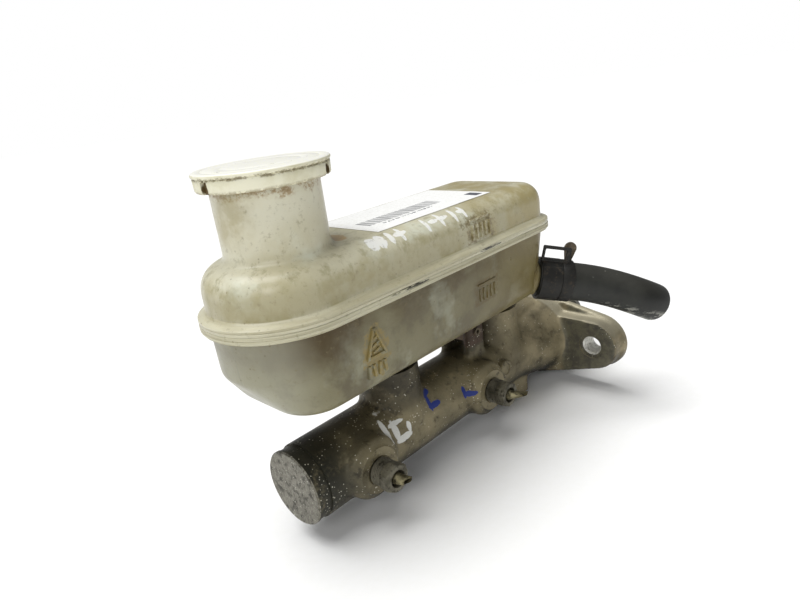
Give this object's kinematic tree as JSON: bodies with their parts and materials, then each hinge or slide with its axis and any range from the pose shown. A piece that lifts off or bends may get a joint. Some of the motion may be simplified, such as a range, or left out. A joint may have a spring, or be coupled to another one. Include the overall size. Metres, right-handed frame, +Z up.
{
  "type": "brake master cylinder",
  "caption": "Tandem brake master cylinder: cast body with a bolted flange, plunger pistons, pipe outlets and a long plastic fluid reservoir with a screw cap.",
  "frame": {"origin": "centre of the bore axis on the flange's mounting face", "axes": "+X along the bore, out of the mouth towards the booster; +Z up towards the reservoir; -Y towards the pipe outlets"},
  "size_m": [0.2314, 0.1266, 0.1495],
  "materials": {
    "cast": "rough cast, dirty",
    "zinc_steel": "aged zinc plate",
    "spring_steel": "satin",
    "dark_steel": "oxidised",
    "brass": "satin",
    "pipe": "passivated, olive",
    "rubber": "matte",
    "piston_alloy": "machined",
    "nylon": "matte",
    "tank_lower": "aged translucent",
    "tank_upper": "aged translucent",
    "cap_plastic": "matte",
    "paper": "paper"
  },
  "bodies": {
    "body": {"cylinder_body": "cast", "stop_bolt": "zinc_steel", "flare_seats": "brass", "outlet_nuts": "zinc_steel", "pipe_stubs": "pipe", "inlet_grommets": "rubber", "reservoir_pin": "spring_steel", "flange_o_ring": "rubber", "stop_washer": "spring_steel", "piston_guide": "nylon", "vacuum_seal": "rubber", "circlip": "dark_steel", "reservoir_lower": "tank_lower", "reservoir_upper": "tank_upper", "paper_label": "paper", "strainer": "nylon", "feed_hose": "rubber", "hose_clamp": "dark_steel", "secondary_spring": "spring_steel"},
    "secondary": {"secondary_piston": "piston_alloy", "secondary_cup": "rubber", "secondary_rear_cups": "rubber", "spring_seat": "spring_steel", "primary_spring": "spring_steel"},
    "primary": {"primary_piston": "piston_alloy", "primary_cup": "rubber", "primary_rear_cup": "rubber", "spring_bolt": "zinc_steel"},
    "cap_lifter": {"cap_seal": "rubber"},
    "cap": {"filler_cap": "cap_plastic"}
  },
  "joints": [
    {"name": "primary_travel", "type": "slide", "parent": "body", "child": "primary", "axis": [-1, 0, 0], "range_m": [0, 0.028], "stiffness_N_per_m": 1200, "springref_m": -0.02, "deforming": ["primary_spring"]},
    {"name": "secondary_travel", "type": "slide", "parent": "body", "child": "secondary", "axis": [-1, 0, 0], "range_m": [0, 0.014], "stiffness_N_per_m": 1200, "springref_m": -0.02, "deforming": ["secondary_spring"]},
    {"name": "cap_lift", "type": "slide", "parent": "body", "child": "cap_lifter", "axis": [0, 0, 1], "range_m": [0, 0.012]},
    {"name": "cap_turn", "type": "hinge", "parent": "cap_lifter", "child": "cap", "pos_m": [-0.1651, 0, 0.12], "axis": [0, 0, 1], "range_deg": [0, 360]}
  ],
  "couplings": [
    {"joint": "secondary_travel", "follows": "primary_travel", "ratio": 0.5},
    {"joint": "cap_turn", "follows": "cap_lift", "rad_per_m": 523.59}
  ]
}
